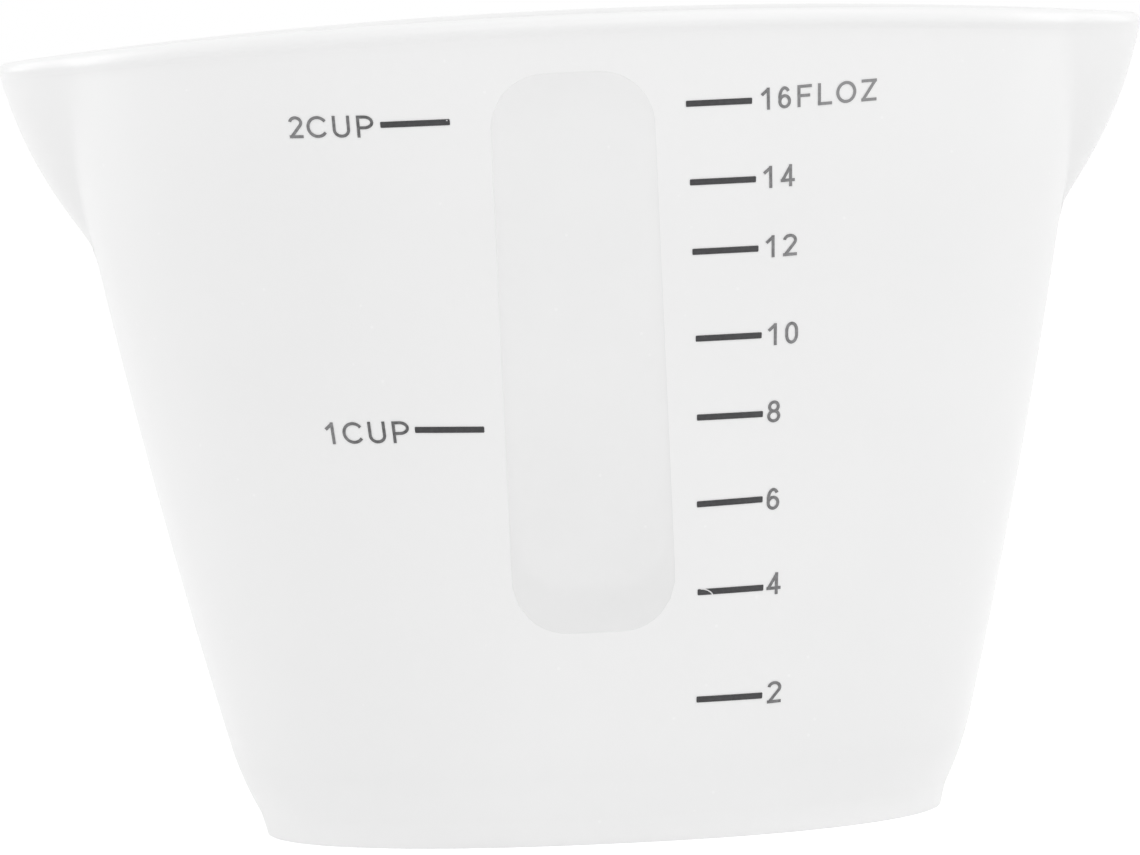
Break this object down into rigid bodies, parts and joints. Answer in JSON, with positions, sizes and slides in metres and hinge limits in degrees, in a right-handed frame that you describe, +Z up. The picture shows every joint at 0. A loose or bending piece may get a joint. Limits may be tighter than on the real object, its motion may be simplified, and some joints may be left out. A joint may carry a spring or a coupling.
{
  "type": "measuring jug",
  "caption": "Oval moulded silicone measuring jug with a pouring spout at each end of the rim, clear level windows in both long walls and a printed volume scale beside the front window.",
  "frame": {"origin": "middle of the flat base, on the surface that the jug stands on", "axes": "+X points to the right-hand spout as seen from the printed side, -Y points out of the printed front wall, +Z points up"},
  "size_m": [0.14, 0.0762, 0.0989],
  "materials": {
    "silicone": "satin",
    "clear_silicone": "satin",
    "ink": "matte"
  },
  "bodies": {
    "root": {"jug_body": "silicone", "front_window": "clear_silicone", "back_window": "clear_silicone", "bar_2_oz": "ink", "bar_4_oz": "ink", "bar_6_oz": "ink", "bar_8_oz": "ink", "bar_10_oz": "ink", "bar_12_oz": "ink", "bar_14_oz": "ink", "bar_16_oz": "ink", "bar_1_cup": "ink", "bar_2_cup": "ink", "figure_2_oz_1_2": "ink", "figure_4_oz_1_4": "ink", "figure_6_oz_1_6": "ink", "figure_8_oz_1_8": "ink", "figure_10_oz_1_1": "ink", "figure_10_oz_2_0": "ink", "figure_12_oz_1_1": "ink", "figure_12_oz_2_2": "ink", "figure_14_oz_1_1": "ink", "figure_14_oz_2_4": "ink", "figure_16_oz_1_1": "ink", "figure_16_oz_2_6": "ink", "figure_16_oz_3_F": "ink", "figure_16_oz_4_L": "ink", "figure_16_oz_5_O": "ink", "figure_16_oz_6_Z": "ink", "figure_1_cup_1_1": "ink", "figure_1_cup_2_C": "ink", "figure_1_cup_3_U": "ink", "figure_1_cup_4_P": "ink", "figure_2_cup_1_2": "ink", "figure_2_cup_2_C": "ink", "figure_2_cup_3_U": "ink", "figure_2_cup_4_P": "ink"}
  },
  "joints": []
}
